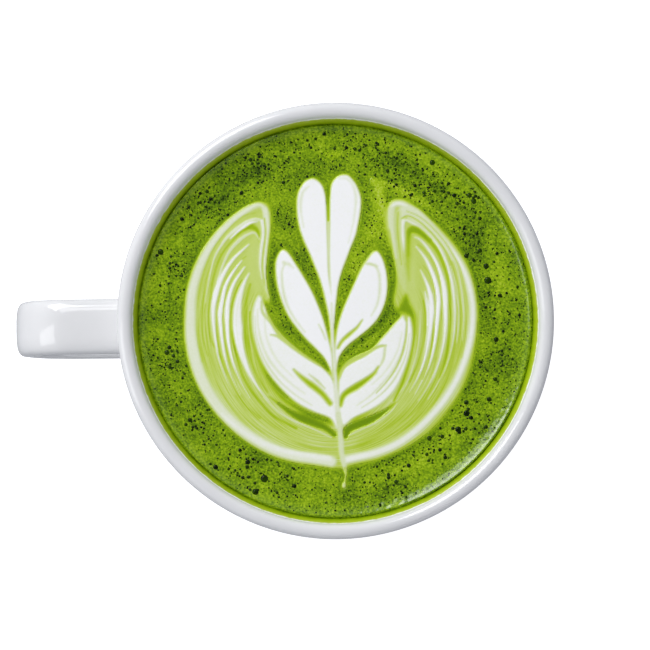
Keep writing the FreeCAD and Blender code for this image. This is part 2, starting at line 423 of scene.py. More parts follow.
def bare_porcelain():
    """The foot's standing face, wiped free of glaze before firing: matt and slightly warmer."""
    material, tree = new_material("bisque porcelain, wiped foot")
    place = places(tree)
    # Ground grain of the bare body, about 0.25 mm, drawn coarse enough to show.
    body = grain(tree, place, 0.25 * MM, 3.0)
    tint = put(tree, "ValToRGB", {"Fac": body}, stops=((0.35, "#dcd8d0"), (0.65, "#ebe8e2")))
    bump = put(tree, "Bump", {"Height": body, "Strength": 0.25, "Distance": 0.05 * MM})
    cover_with(tree, {
        "Base Color": tint.outputs["Color"],
        "Roughness": 0.75,
        "Normal": bump.outputs["Normal"],
        "IOR": 1.5,
    })
    return material


# ---------------------------------------------------------------- the poured figure

# Each layer is (milk, softness, widths, points) in millimetres, seen from above, and lies over the
# ones before it. Milk is 0 for plain matcha, 1 for white foam, under 0 for darker matcha. A layer
# with widths is a drawn line, and one without is the area inside its outline.
WING_RIM = (
    (-17.0, 27.2), (-21.1, 26.0), (-25.3, 22.8), (-29.6, 17.8), (-32.6, 12.4), (-34.2, 6.3),
    (-34.7, 0), (-34.4, -4.8), (-33.3, -10), (-31.4, -15), (-28.2, -20), (-23.7, -25),
    (-20, -28), (-14.8, -30.9), (-9.5, -32.5), (-4, -33.3), (1, -33.9), (4.5, -33.0),
    (9.5, -31.9), (14.5, -29.9), (18.8, -27.4), (22.7, -24.3), (26.3, -20), (28.9, -16),
    (30.8, -11.5), (32, -6.5), (32.6, -1), (32.5, 4), (31.6, 9.3), (30, 13.6), (27.3, 17.8),
    (23.8, 21.7), (20, 25), (16.5, 27.6), (14.0, 28.0), (12.5, 27.0),
)
LEFT_INSIDE = (
    (-3, -23.5), (-9, -20.5), (-14.5, -15.5), (-18, -8), (-18.8, 0), (-17.4, 4.6),
    (-15.0, 4.2), (-15.4, 7.2), (-16.0, 11), (-15.7, 15.5), (-15.0, 20), (-14.9, 24.3), (-15.5, 26.7),
)
RIGHT_INSIDE = (
    (11.6, 24.5), (12.0, 20.5), (13.5, 16.0), (14.2, 12), (13.8, 8), (13.2, 5.2), (14.2, 2.6),
    (16, 0), (17, -6), (15, -13), (10, -19), (4, -23),
)
WASHES = [
    # halo of clear matcha round the wings, the lobes and the petals
    (-0.05, 2.6, (2.4, 3.2, 2.4), WING_RIM),
    # matcha drawn darker and lighter in long drifts through the foam
    (-0.08, 4.4, (0.2, 2.4, 1.4), ((6, 38), (11, 37.2), (17, 34.6), (23.5, 30.6), (29, 25.6), (33, 19.6))),
    (-0.13, 4.4, (0.6, 2.6, 0.6), ((-28, 26), (-24, 30), (-18, 34.5), (-12, 36.6), (-6, 37.2))),
    (0.09, 4.0, (0.6, 2.6, 0.6), ((35, 20), (37, 13), (38, 5), (37.8, -4))),
    (-0.10, 3.4, (0.4, 2.2, 0.4), ((-36.5, 13), (-38, 6), (-38.2, -2), (-37, -10))),
    (0.02, 3.0, (0.4, 1.8, 0.4), ((-26, -27), (-19, -32.6), (-11, -35.8), (-3, -36.6))),
    (0.11, 3.4, (0.4, 2.4, 0.4), ((28, -25), (26, -26), (21, -31), (14, -35), (6, -38))),
    (0.10, 3.0, (0.4, 1.6, 0.4), ((-4, 42), (4, 42.4), (13, 40.6), (21, 36.6), (28, 30.6))),
    (0.09, 3.0, (0.4, 1.6, 0.4), ((-33, -22), (-36.6, -16), (-41, -6))),
    (0.08, 1.6, (0.2, 0.9, 0.2), ((12, 34.6), (18, 32.4), (23, 28.8), (27, 24.2))),
    # washes of thin milk between the lobes and the right wing
    (0.20, 5.0, (1.2, 3.2, 1.6), ((10.0, 30), (9.6, 25), (8.6, 20.6), (6.6, 16.6), (4.6, 12))),
    (0.38, 2.8, (0.3, 1.2, 1.0), ((8.6, 32.2), (10.4, 29.6), (11.0, 26), (11.9, 22), (13.1, 17.8))),
    (0.30, 2.0, (0.9, 0.7, 0.1), ((8.5, 32.4), (11, 31.9), (13.8, 30.9), (17.4, 29.2))),
    (0.18, 2.2, (0.6, 1.4, 0.8), ((12.4, 29.4), (15, 29.4), (19, 27.9), (23, 25.0), (26.6, 21.4))),
    (0.17, 4.0, (0.6, 3.0, 0.6), ((-4, 40.5), (-1, 38), (3, 39.6))),
    (0.22, 1.8, (0.4, 1.2, 0.3), ((-2.2, 39), (-0.6, 38.1), (0.8, 38.9))),
]
WINGS = [
    (0.52, 1.6, None, WING_RIM + RIGHT_INSIDE + LEFT_INSIDE),
    (0.40, 3.0, (2.0, 5.0, 3.0), ((27, -5), (25.6, -11), (21.6, -18.6), (14.6, -24.6), (6.4, -28.4))),
]
# The wings' pale outer bands, and the thin milk along their inner edges, are smooth.
EDGES = [
    (0.86, 1.3, (0.9, 2.7, 2.5), (
        (-16.4, 26.0), (-17.6, 26.8), (-20, 25.8), (-24, 22.8), (-28, 18.4), (-31, 13), (-32.9, 7),
        (-33.3, 1), (-33.2, -4), (-32.1, -9.6), (-30.1, -14.8), (-27.2, -19.4), (-23.8, -23.2),
        (-19.4, -26.6), (-14.5, -29.3), (-9.5, -30.9), (-5, -31.6), (-1, -32.3))),
    (0.93, 0.9, (0.3, 1.0, 1.2), (
        (-26, -21.4), (-24.4, -22.9), (-21, -25.6), (-16.5, -28.2), (-11.5, -30.0), (-6, -31.0),
        (-1.5, -31.6))),
    (0.93, 1.5, (1.9, 1.6, 1.1), (
        (2.4, -31.9), (5, -31.3), (9.5, -30.2), (14, -28.3), (18.2, -25.4), (21.8, -22.0),
        (25, -18.2), (27.6, -14), (29.5, -9.6), (31, -4.4), (31.6, 1), (31.3, 5.6), (30.2, 10),
        (28.4, 13.8), (25.9, 17.4), (22.8, 20.8), (19.4, 24), (16.6, 26.3), (14.6, 27.1),
        (13.2, 26.5), (12.8, 24.6), (12.9, 21.8))),
    (0.82, 1.2, (1.0, 3.2, 1.0), (
        (14.4, 18), (14.6, 22.6), (15.8, 25.2), (18.4, 24.4), (21.6, 21.6), (24.8, 17.9), (27, 14.4))),
    (0.58, 1.8, (1.6, 4.2, 2.0), ((-17.0, 22.4), (-18.2, 17), (-18.6, 12), (-17.8, 7.4))),
    (0.60, 2.2, (1.6, 4.0, 2.4), ((15.2, 22), (16.0, 17), (16.6, 12), (17.2, 7), (18, 2.6))),
]
STRIPES = [
    # left wing: white and green combed through it
    (0.42, 0.5, (0.3, 0.4, 0.2), (
        (-18.4, 25.0), (-21.3, 24.0), (-25, 20.6), (-28.2, 16.2), (-30.3, 11), (-31.4, 5.5),
        (-31.6, 0), (-31.4, -5), (-30.5, -9.5))),
    (0.36, 0.4, (0.2, 0.35, 0.2), (
        (-26.5, 17.6), (-28.6, 13), (-30, 8), (-30.6, 2), (-30.4, -4), (-29.4, -8))),
    (0.30, 0.4, (0.2, 0.45, 0.5), (
        (-26.4, 15.4), (-28, 10.5), (-28.9, 5.5), (-29.1, 0), (-28.5, -4.6), (-26.9, -7.3),
        (-25.8, -9.9), (-24.9, -12.1), (-23.7, -14.8), (-22.2, -17.3), (-20.1, -20), (-17.4, -22.4))),
    (0.84, 0.5, (0.3, 0.8, 0.1), (
        (-16.3, 20.8), (-16.7, 22.8), (-18.3, 23.5), (-20.4, 22.9), (-22.2, 21.7), (-24.2, 20),
        (-26, 17.9), (-28, 14.2), (-29.2, 9), (-29.9, 4))),
    (0.16, 0.8, (0.3, 1.3, 0.3), ((-17.4, 18.2), (-17.9, 20.6), (-19.4, 21.7), (-21.4, 20.9), (-23, 19.3))),
    (0.30, 0.4, (0.4, 0.4, 0.3), ((-23, 19.3), (-25.6, 16.2), (-27.2, 12.8), (-28.2, 9), (-28.6, 5))),
    (0.80, 0.4, (0.3, 0.8, 0.4), (
        (-17.4, 18.6), (-18.6, 20.3), (-20.4, 19.8), (-22.3, 18.4), (-24.4, 16), (-26, 12.6), (-27.2, 9))),
    (0.97, 0.6, (0.3, 1.25, 0.0), (
        (-20, 17.6), (-21.5, 16.2), (-23.2, 14.6), (-24.6, 12.8), (-25.8, 10.8), (-26.8, 8.6),
        (-27.6, 6), (-28.1, 3), (-28.1, 0), (-27.6, -4.4), (-26.9, -8.5), (-25.2, -13), (-23, -17))),
    (0.38, 0.3, (0.3, 0.35, 0.3), (
        (-20.6, 14.9), (-22.4, 13.3), (-24, 11.4), (-25.3, 9.2), (-26.4, 6.2), (-27.1, 3), (-27.3, 0),
        (-27, -4.5), (-26.4, -7.5), (-25.5, -10.5))),
    (0.98, 0.5, (0.3, 1.15, 0.0), (
        (-21.6, 13.9), (-23, 12.1), (-24.3, 10.1), (-25.4, 7.8), (-26, 5), (-26.5, 2), (-26.5, 0),
        (-26.1, -4), (-25.3, -8.6), (-23.9, -12.8), (-21.8, -17))),
    (0.42, 0.3, (0.2, 0.3, 0.3), (
        (-22.2, 11.6), (-23.6, 9.8), (-24.6, 7.8), (-25.3, 5.2), (-25.7, 2), (-25.75, 0), (-25.4, -4),
        (-24.8, -7.6), (-24, -11), (-22.6, -14.5))),
    (0.98, 0.5, (0.3, 1.1, 0.0), (
        (-20.9, 12.4), (-22.1, 10.7), (-23.2, 9), (-24.1, 6.9), (-24.7, 4.4), (-24.9, 1.5),
        (-24.85, -2), (-24.4, -6), (-23.4, -10), (-21.8, -14), (-19.6, -17.8))),
    (0.22, 0.35, (0.25, 0.5, 0.6), (
        (-21.5, 9.4), (-22.6, 7.4), (-23.4, 5), (-23.9, 2), (-24, 0), (-23.7, -4), (-22.8, -7.6),
        (-21.9, -10.5), (-21, -13), (-19.4, -16), (-17, -19), (-14.8, -21.4), (-12, -23.2), (-9, -24.7))),
    (0.95, 0.7, (0.3, 2.3, 0.0), (
        (-19.9, 10.9), (-20.9, 9), (-21.7, 6.9), (-22.3, 4.4), (-22.6, 1.5), (-22.5, -1.5),
        (-22.1, -5), (-21.2, -8.4), (-19.8, -12), (-17.6, -15.6), (-15, -18.6))),
    (0.30, 0.5, (0.5, 0.9, 0.4), (
        (-19.6, 8.4), (-20.4, 5.2), (-20.7, 2), (-20.7, 0), (-20.6, -3), (-20.2, -5.4), (-19.7, -8),
        (-18.9, -10.6), (-17.6, -13.4), (-15.6, -16.4))),
    # right wing
    (0.50, 0.4, (0.2, 0.35, 0.2), (
        (16.4, 25.3), (19, 24.2), (21.3, 22.5), (23.4, 20.4), (25.5, 17.8), (27.2, 15), (28.5, 12.5),
        (29.4, 9.5), (30, 6.3), (30.3, 3.1), (30.3, 0), (29.9, -4.5), (29, -8.5))),
    (0.38, 0.4, (0.25, 0.35, 0.3), (
        (15.2, 23.6), (16.6, 24.2), (18.2, 23.6), (19.7, 22.6), (21.1, 21.3), (22.5, 19.9), (24.2, 17.8),
        (25.7, 15.5), (26.8, 13), (27.7, 10), (28.4, 7), (28.9, 3), (28.95, 0), (28.6, -4), (27.8, -8.2))),
    (0.76, 0.4, (0.2, 0.5, 0.2), ((26.4, 15.6), (27.8, 12.4), (28.7, 9), (29.3, 5), (29.5, 0), (29.2, -4.5))),
    (0.92, 0.7, (0.2, 1.1, 0.0), (
        (15.6, 16), (15.5, 20), (15.5, 22.2), (16.2, 23.2), (17.3, 22.8), (19, 21.8), (20.3, 20.7),
        (21.6, 19.5), (22.9, 18), (24.1, 16.2), (25.1, 14.1), (26, 11.7), (26.7, 9.3), (27.2, 6.4),
        (27.4, 3), (27.4, 0), (27, -4.4), (26, -9), (24, -13.6), (21.2, -18))),
    (0.72, 0.35, (0.2, 0.4, 0.2), (
        (26.6, 12.6), (27.5, 9.4), (28.1, 6), (28.3, 2), (28.2, -1.5), (27.8, -5))),
    (0.12, 0.9, (0.1, 1.5, 0.9), (
        (16.8, 15.8), (16.8, 19.2), (17.2, 20.9), (18.6, 21), (20.1, 20), (21.7, 18.5))),
    (0.22, 0.4, (1.0, 0.55, 0.35), (
        (21.5, 18.7), (23.1, 16.7), (24.3, 14.5), (25.4, 11.6), (26.1, 8.4), (26.4, 4.1), (26.5, 0),
        (26.1, -4.4), (25.4, -8.8), (23.9, -13))),
    (0.97, 0.7, (0.2, 1.3, 0.0), (
        (18.3, 19.3), (19.4, 18.8), (20.7, 17.5), (21.9, 15.8), (23.1, 13.6), (24.1, 11), (24.8, 8.4),
        (25.2, 5.2), (25.3, 2), (25.3, -1.4), (24.8, -5.6), (23.6, -10), (21.6, -14.4), (19, -18.4))),
    (0.40, 0.35, (0.4, 0.35, 0.3), (
        (19, 17.5), (20.4, 16.5), (21.8, 14.9), (22.9, 12.8), (23.7, 10.4), (24.2, 7.6), (24.4, 4),
        (24.2, 0), (23.8, -4.4), (23, -8.8), (21.6, -13))),
    (0.99, 0.7, (0.2, 1.4, 0.0), (
        (18.6, 17.1), (19.7, 15.8), (20.9, 14.1), (21.9, 12), (22.7, 9.8), (23.3, 7.2), (23.6, 4),
        (23.4, 0.5), (23, -3.6), (22.2, -8), (20.6, -12.4), (18.2, -16.8))),
    (0.36, 0.3, (0.25, 0.35, 0.3), (
        (20.2, 12.7), (21.4, 11.2), (22.2, 9.3), (22.8, 6.8), (23, 4), (22.7, 0), (22.4, -4.4), (21.5, -9),
        (20, -13.4))),
    (0.98, 0.7, (0.2, 1.4, 0.0), (
        (19.6, 11.7), (20.4, 10.1), (21.2, 8.2), (21.8, 6), (22.1, 3.6), (22, 0.5), (21.5, -3.6), (20.7, -8),
        (19.2, -12.4), (17, -16.4))),
    (0.88, 0.4, (0.3, 0.7, 0.4), ((20.6, 6.7), (21, 4.6), (21.2, 2.4), (21.2, -1))),
    (0.34, 0.5, (0.3, 0.9, 0.4), (
        (20.2, 4.6), (20.5, 1.6), (20.4, -1.8), (19.9, -5.6), (18.8, -10), (17, -14))),
    (0.72, 0.4, (0.3, 0.6, 0.3), (
        (19.5, 2.4), (19.5, -1.5), (19, -6), (17.9, -10.4), (16, -14.8), (13, -18.6))),
    (0.58, 1.6, (0.6, 2.2, 0.8), ((16.2, 9.6), (17.2, 7), (18.4, 5.2), (19, 2.8))),
    (0.98, 0.5, (0.2, 0.8, 0.3), ((-17.9, 22.9), (-19.6, 22.6), (-22, 21.0), (-24.2, 19.0))),
]
# Where the strokes turn back down the wings' inner edges, and are combed along them.
HAIRPINS = [
    (0.62, 0.8, (1.6, 2.2, 0.8), (
        (-15.9, 24.8), (-16.2, 20.6), (-16.8, 16), (-16.9, 12), (-16.2, 8.4), (-15.3, 5.6))),
    (0.84, 0.6, (1.3, 0.9, 0.3), (
        (-16.2, 25.6), (-15.7, 22), (-16.0, 18), (-16.3, 13), (-15.9, 8), (-15.2, 5.4))),
    (0.90, 0.45, (0.8, 0.7, 0.2), ((-16.9, 23), (-16.6, 20.4), (-17.1, 16.4), (-17.3, 13), (-16.9, 9.8))),
    (0.46, 0.3, (0.3, 0.35, 0.2), ((-16.3, 23.6), (-16.1, 20), (-16.6, 15.6), (-16.8, 12), (-16.2, 8))),
    (0.64, 1.2, (1.0, 2.8, 1.0), ((14.6, 25), (14.2, 21), (14.6, 16), (15.2, 11), (15.8, 7.6))),
    (0.80, 0.6, (1.2, 0.9, 0.4), ((12.9, 25.8), (12.9, 22.6), (13.4, 18.6), (14.0, 14.6))),
    (0.90, 0.5, (0.8, 0.7, 0.3), ((15.6, 23), (15.5, 20.4), (15.8, 17), (16.2, 13.6))),
    (0.44, 0.3, (0.3, 0.4, 0.2), ((14.4, 25), (14.3, 21.4), (14.7, 17), (15.2, 13))),
    (0.34, 1.6, (0.0, 1.6, 0.6), ((17.0, 9.4), (16.7, 13.4), (16.8, 17), (17.2, 19.6))),
    (0.10, 1.0, (0.0, 1.2, 0.5), (
        (16.8, 15.0), (16.9, 19.2), (17.3, 20.7), (18.6, 20.8), (20.1, 19.9), (21.7, 18.4))),
]
LEAVES = [
    # darker matcha between the pours
    (-0.05, 1.7, (0.1, 1.4, 1.0), (
        (4.0, 12.2), (6.0, 15.6), (7.6, 17.5), (9.3, 18.2), (11.2, 16.4), (12.5, 13.6), (13.0, 10),
        (12.9, 6.4), (12.0, 3),
        (10.4, 0.2), (8, -2.8), (5.2, -5.2), (2.6, -7.4), (0.8, -10.4))),
    (0.12, 1.4, (0.8, 1.2, 0.5), (
        (13.4, 1.0), (11, -1.6), (8.2, -4.4), (5, -6.6), (2.6, -8.6), (0.9, -11.4), (0.4, -14))),
    (-0.06, 1.3, (0.8, 1.6, 1.2), (
        (-13.4, 16.4), (-14.9, 13.4), (-15.1, 9.6), (-14.3, 5.4), (-12.9, 2), (-11.2, -0.8), (-8.6, -3.8),
        (-5.4, -6.6), (-2.8, -9), (-1.3, -11.8))),
    (0.04, 1.6, None, (
        (16.2, 6.0), (17.2, 4), (18.3, 1.2), (18.2, -3), (17.4, 0.2), (16.4, 1.5), (14.6, 1.9),
        (13.4, 1.2), (14.8, 3.4))),
    # crescents of matcha under the leaves
    (-0.02, 0.9, (0.0, 1.8, 1.0), (
        (-15.2, -17.4), (-12.6, -19.4), (-10, -21.2), (-7.6, -22.4), (-4.4, -23.7), (-2.2, -24.6),
        (-0.2, -26.2))),
    (0.78, 0.3, (0.3, 0.5, 0.3), ((-16.4, -17.6), (-12.8, -21.1), (-9.2, -23.1), (-5, -24.9), (-1, -26.8))),
    (-0.02, 1.0, (0.0, 1.8, 1.7), (
        (13.8, -18.8), (12.1, -20.2), (10, -21.6), (7.5, -22.9), (4.9, -23.9), (3.0, -24.8), (2.2, -26.2))),
    (0.18, 0.4, (0.4, 0.6, 0.4), (
        (18.1, 0), (18, -4), (17.2, -8.4), (16.2, -12), (15, -15.2), (13.4, -18.4))),
    (0.74, 0.3, (0.2, 0.4, 0.3), ((14.2, -18.9), (12.6, -21), (9, -23.6), (5.5, -25.1), (3, -26.4))),
    # lower leaves
    (0.97, 1.1, None, (
        (-17.5, 5.8), (-18.7, 3.6), (-19.1, 0), (-18.7, -4), (-17.4, -8.4), (-15.2, -12.4), (-12.2, -16),
        (-8.8, -19), (-5, -21), (-1.4, -22.4), (0.6, -24.6), (0.2, -17), (-0.6, -13.4), (-2.6, -11),
        (-5, -9.3), (-8, -7.2), (-11, -4.6), (-13.6, -1.8), (-15.2, 0.6), (-16.2, 3.4))),
    (0.97, 1.1, None, (
        (15.5, 1.2), (14.2, 0), (12.2, -2.3), (10, -4.8), (7.6, -7.4), (4.4, -9.2), (2.2, -10.6),
        (1.1, -12.2),
        (0.6, -15), (0.7, -20), (1.6, -24), (4.4, -22.3), (8, -20.6), (11, -18.6), (13.8, -15.6),
        (15.8, -11.6), (17.2, -7), (17.7, -2.6), (17.3, 0.4), (16.7, 0.9), (16.3, 0.0))),
    (0.40, 0.7, (0.2, 0.4, 0.05), (
        (16.4, 0.8), (16.4, -1.2), (16.1, -4.4), (15.2, -8), (13.6, -11.4), (11.6, -14.2), (9.4, -16.6))),
    (0.80, 0.8, (0.1, 0.4, 0.1), ((14.8, -8), (12.8, -11.8), (10.4, -14.8), (7.8, -17.4), (5, -19.4))),
    (0.30, 0.35, (0.4, 0.35, 0.3), (
        (-19.7, 2), (-19.7, 0), (-19.4, -3), (-18.8, -5.6), (-17.9, -8.6), (-16.6, -11.6), (-15, -14.2),
        (-12.8, -16.6), (-10.4, -18.6), (-7, -20.5), (-3.6, -21.7))),
    (0.80, 0.8, (0.1, 0.5, 0.1), (
        (-17.9, 2.6), (-17.8, -1), (-16.9, -5.2), (-15.2, -9), (-12.8, -12), (-10, -14.6), (-7, -16.8))),
    (0.74, 0.6, (0.1, 0.4, 0.1), (
        (-18.5, 1), (-18.3, -3), (-17.1, -7.2), (-15.1, -11), (-12.3, -14.4), (-9, -17.2), (-5.4, -19.4))),
    (0.84, 0.8, (0.1, 0.4, 0.1), ((-16.3, 0.5), (-15.9, -3.4), (-14.5, -7.2), (-12.3, -10.4), (-9.6, -13.0))),
    (0.74, 0.6, (0.1, 0.4, 0.1), (
        (17.0, -3), (16.2, -7.8), (14.4, -12), (12, -15.4), (9.2, -17.9), (6, -20))),
    (0.84, 0.8, (0.1, 0.4, 0.1), ((15.3, -2.6), (14.5, -6.2), (12.9, -9.6), (10.8, -12.4), (8.4, -14.6))),
    (0.62, 0.6, (0.4, 0.7, 0.2), ((-17, 4.4), (-16.8, 2.2), (-15.6, 0.4), (-14, -1.6))),
    (0.45, 0.7, (0.5, 0.8, 0.4), (
        (-15.2, 0.9), (-13.9, -1.8), (-12.2, -3.9), (-9.6, -6.2), (-6.4, -8.5), (-3.6, -10.2))),
    (0.55, 0.6, (0.2, 0.8, 0.3), ((-14.9, -3.2), (-13.2, -3.6), (-11.4, -4.8), (-9.6, -6.2))),
    (0.50, 0.7, (0.3, 1.0, 0.5), ((11.6, -5.7), (9.8, -6.0), (7.2, -7.4), (4, -9), (2, -10.6), (0.9, -13))),
    (0.70, 0.8, (0.5, 0.5, 0.1), ((11.4, -6.2), (11.2, -8.2), (10.6, -9.8), (9.8, -10.9))),
    (0.18, 1.1, (0.1, 1.2, 0.9), (
        (-9.6, -11.2), (-8.3, -12.5), (-6.5, -14), (-4.5, -15.5), (-2.8, -17), (-1.2, -19))),
    (0.62, 0.7, (0.1, 0.5, 0.2), ((-6.1, -12.3), (-4.2, -13.8), (-2.4, -15.6))),
    (0.14, 1.1, (0.1, 1.4, 0.8), (
        (9.8, -10.6), (8.9, -12.1), (7.1, -13.6), (4.9, -15.1), (2.9, -16.3), (1.7, -17.5), (1.1, -19.4))),
    # petals
    (1.0, 1.0, None, (
        (-12.2, 16.4), (-13.2, 15.2), (-13.8, 13.2), (-13.7, 10.2), (-13.2, 7.2), (-12.2, 4), (-10.8, 1),
        (-9, -1.6), (-6.8, -4.2), (-4.4, -6.6), (-2.6, -8.6), (-1.3, -11), (-0.6, -13), (-0.7, -8),
        (-1.5, -4.2), (-2.6, 0), (-3.6, 2.8), (-5.1, 6.3), (-6.9, 9.6), (-9, 13), (-10.9, 15.8))),
    (1.0, 1.0, None, (
        (9.2, 16.1), (7.9, 14.9), (6, 12.1), (4.2, 8.3), (2.3, 4), (0.9, 0.2), (0.1, -3.6), (-0.2, -7.6),
        (0.2, -11), (1.0, -8.2), (2.6, -6), (5, -4), (7.6, -1.9), (9.8, 0.5), (11.3, 3.6), (12, 7),
        (11.9, 10.6), (11.2, 13.6), (10.2, 15.6))),
    (0.76, 1.0, (0.1, 0.5, 0.1), (
        (-11.6, 13.2), (-12.3, 11.2), (-12, 7), (-11, 3.4), (-9.2, 0.2), (-7, -2.6))),
    (0.80, 1.1, (0.6, 0.5, 0.1), ((-11.9, 13.4), (-10.7, 13), (-9.7, 12.2))),
    (0.66, 0.9, (0.3, 0.5, 0.3), ((7.2, 13.2), (8.4, 13), (9.5, 12.5))),
    (0.78, 1.0, (0.4, 0.5, 0.1), ((9.3, 12.8), (10.1, 10.6), (10.2, 7), (9.6, 3.8), (8.3, 1.2))),
    (0.30, 0.9, (0.1, 0.8, 0.5), ((6.2, 0.2), (4.9, -1.6), (3.1, -3.2), (1.6, -4.6), (0.6, -6.2))),
    (0.66, 0.7, (0.1, 0.3, 0.1), ((-3.9, -0.8), (-3, -2.4), (-2.2, -4.4))),
    # the two tall lobes
    (1.0, 1.0, None, (
        (-5.4, 32.9), (-6.8, 32.3), (-8, 30.9), (-8.7, 29.2), (-8.95, 27), (-8.8, 24.2), (-8.2, 21),
        (-7.2, 18.2), (-5.9, 15.3), (-4.9, 12.8), (-3.8, 10), (-2.9, 7), (-2.2, 4), (-1.6, 1.2),
        (-1.2, -2), (-0.8, -6), (-0.5, -2), (-0.2, 2), (-1.4, 10), (-1.7, 18), (-1.9, 24), (-2.1, 28),
        (-2.6, 30.4), (-3.3, 31.7), (-4.3, 32.6))),
    (1.0, 1.0, None, (
        (1.3, 33.7), (0.1, 33.0), (-0.8, 31.8), (-1.2, 30), (-1.35, 27), (-1.4, 22), (-1.5, 14),
        (-1.2, 6), (-0.9, 0), (-0.8, -6), (-0.4, -1), (-0.05, 2), (0.3, 4.8), (0.6, 7.4), (1.1, 9.8),
        (1.7, 11.8), (2.6, 14.2), (3.6, 16.9), (4.7, 19.6), (5.2, 21.8), (5.8, 25), (6, 27.6),
        (5.7, 29.4), (5, 31.2), (4, 32.7), (2.8, 33.7))),
    (0.02, 0.5, (1.2, 0.35, 0.05), ((-1.9, 33), (-1.75, 30), (-1.7, 27), (-1.65, 24.6), (-1.6, 22.4))),
    (0.82, 0.4, (0.4, 0.35, 0.1), ((-1.6, 22.8), (-1.5, 17), (-1.2, 11), (-1.0, 6))),
    (0.84, 1.0, (0.2, 0.7, 0.1), ((-6.2, 31), (-7.4, 29.8), (-8, 27.6), (-7.9, 24.8), (-7.3, 21.6))),
    (0.86, 0.9, (0.2, 0.6, 0.1), (
        (0.8, 32.9), (2.6, 32.8), (4, 31.4), (4.7, 29), (4.6, 26), (4, 22), (3, 18))),
    # the stem, drawn down through it all
    (0.86, 0.7, (0.5, 0.9, 1.2), ((-0.9, 4), (-0.7, -2), (-0.4, -8), (0, -13), (0.3, -18), (0.7, -22.4))),
    (0.80, 0.7, (1.2, 1.3, 0.9), (
        (0.6, -21.5), (1.0, -24), (1.25, -27), (1.4, -30), (1.9, -32.6), (2.2, -34.2))),
    (0.55, 0.6, (0.9, 0.4, 0.5), ((2.2, -34), (2.35, -35.4), (2.2, -36.6), (1.95, -37.6))),
    (0.70, 0.7, (0.9, 1.0, 0.9), ((1.98, -37.6), (1.95, -37.8), (1.92, -38.0))),
]
WING_MIDDLE = -1.0  # mm along X, of the circle that both wings lie on
FIGURE_TURN = math.radians(-0.9)  # of the figure against the handle
FIGURE_EDGE = 0.18  # milk at which the figure's own sheet comes up through the matcha
# Round that edge the two surfaces lie SEAM_STEP apart, and past SEAM_LAP each dives under the other.
SEAM_LAP = 0.03
SEAM_RUN = 0.12
SEAM_STEP = 0.012  # mm
SEAM_DIVE = 0.16  # mm


def smooth_path(points, steps, closed):
    """A Catmull-Rom curve through points; a closed one joins its ends."""
    p = np.array(points, float)
    ends = (p[-1:], p[:2]) if closed else (2 * p[:1] - p[1:2], 2 * p[-1:] - p[-2:-1])
    p = np.concatenate([ends[0], p, ends[1]])
    t = np.linspace(0, 1, steps, endpoint=False)[:, None]
    out = []
    for a, b, c, d in zip(p[:-3], p[1:-2], p[2:-1], p[3:]):
        out.append(0.5 * (2 * b + (c - a) * t + (2 * a - 5 * b + 4 * c - d) * t ** 2
                          + (3 * b - a - 3 * c + d) * t ** 3))
    out.append(p[-2:-1])
    return np.concatenate(out)


def to_path(xy, path):
    """Distance from each point to a path, and how far along it the nearest spot is, 0 to 1."""
    a, b = path[:-1], path[1:]
    along = b - a
    length = np.maximum((along ** 2).sum(1), 1e-12)
    best = np.full(len(xy), 1e9)
    where = np.zeros(len(xy))
    for i in range(len(a)):
        rel = xy - a[i]
        t = np.clip(rel @ along[i] / length[i], 0, 1)
        d = ((rel - t[:, None] * along[i]) ** 2).sum(1)
        nearer = d < best
        best[nearer] = d[nearer]
        where[nearer] = (i + t[nearer]) / len(a)
    return np.sqrt(best), where


def inside_path(xy, path):
    """True for the points inside a closed path."""
    odd = np.zeros(len(xy), bool)
    for (x0, y0), (x1, y1) in zip(path[:-1], path[1:]):
        if y0 != y1:
            cross = (xy[:, 1] < y0) != (xy[:, 1] < y1)
            odd ^= cross & (xy[:, 0] < x0 + (xy[:, 1] - y0) * (x1 - x0) / (y1 - y0))
    return odd


def ease(x):
    x = np.clip(x, 0, 1)
    return x * x * (3 - 2 * x)


# The layers from the lowest up, each with how far the fine threads comb it; None leaves them be.
FIGURE = (
    (WASHES, None),
    (WINGS, 1.0),
    (EDGES, 0.1),
    (STRIPES, None),
    (HAIRPINS, 0.1),
    (LEAVES, 0.0),
)
PATH_STEPS = 6  # from each point of a stroke to the next
FROTHLESS_MILK = 0.25  # poured milk over this has no pores
FROTH_REACH = 1.1  # mm, over which the pores come back beside it
THREADS_FADE = (1, 9)  # mm up the figure where the threads start to fade, and over how far


def milk_at(xy):
    """Milk, froth and combing at each point, in mm, with every layer laid over the ones before it."""
    c, s = math.cos(FIGURE_TURN), math.sin(FIGURE_TURN)
    xy = xy @ np.array(((c, -s), (s, c)))
    milk = np.zeros(len(xy))
    froth = np.ones(len(xy))
    combed = np.zeros(len(xy))
    for layers, comb in FIGURE:
        for value, soft, widths, points in layers:
            path = smooth_path(points, PATH_STEPS, widths is None)
            reach = soft + 4 + (max(widths) if widths else 0)
            near = np.all((xy > path.min(0) - reach) & (xy < path.max(0) + reach), axis=1)
            away, along = to_path(xy[near], path)
            if widths:
                away = away - np.interp(along, (0, 0.5, 1), widths) / 2
            else:
                away[inside_path(xy[near], path)] *= -1
            cover = ease(0.5 - away / soft)
            milk[near] += (value - milk[near]) * cover
            if value > FROTHLESS_MILK and layers is not WASHES:
                froth[near] *= 1 - ease(0.9 - away / FROTH_REACH)
            if comb is not None:
                combed[near] += (comb - combed[near]) * cover
    combed *= 1 - 0.8 * ease((xy[:, 1] - THREADS_FADE[0]) / THREADS_FADE[1])
    return milk, froth, combed


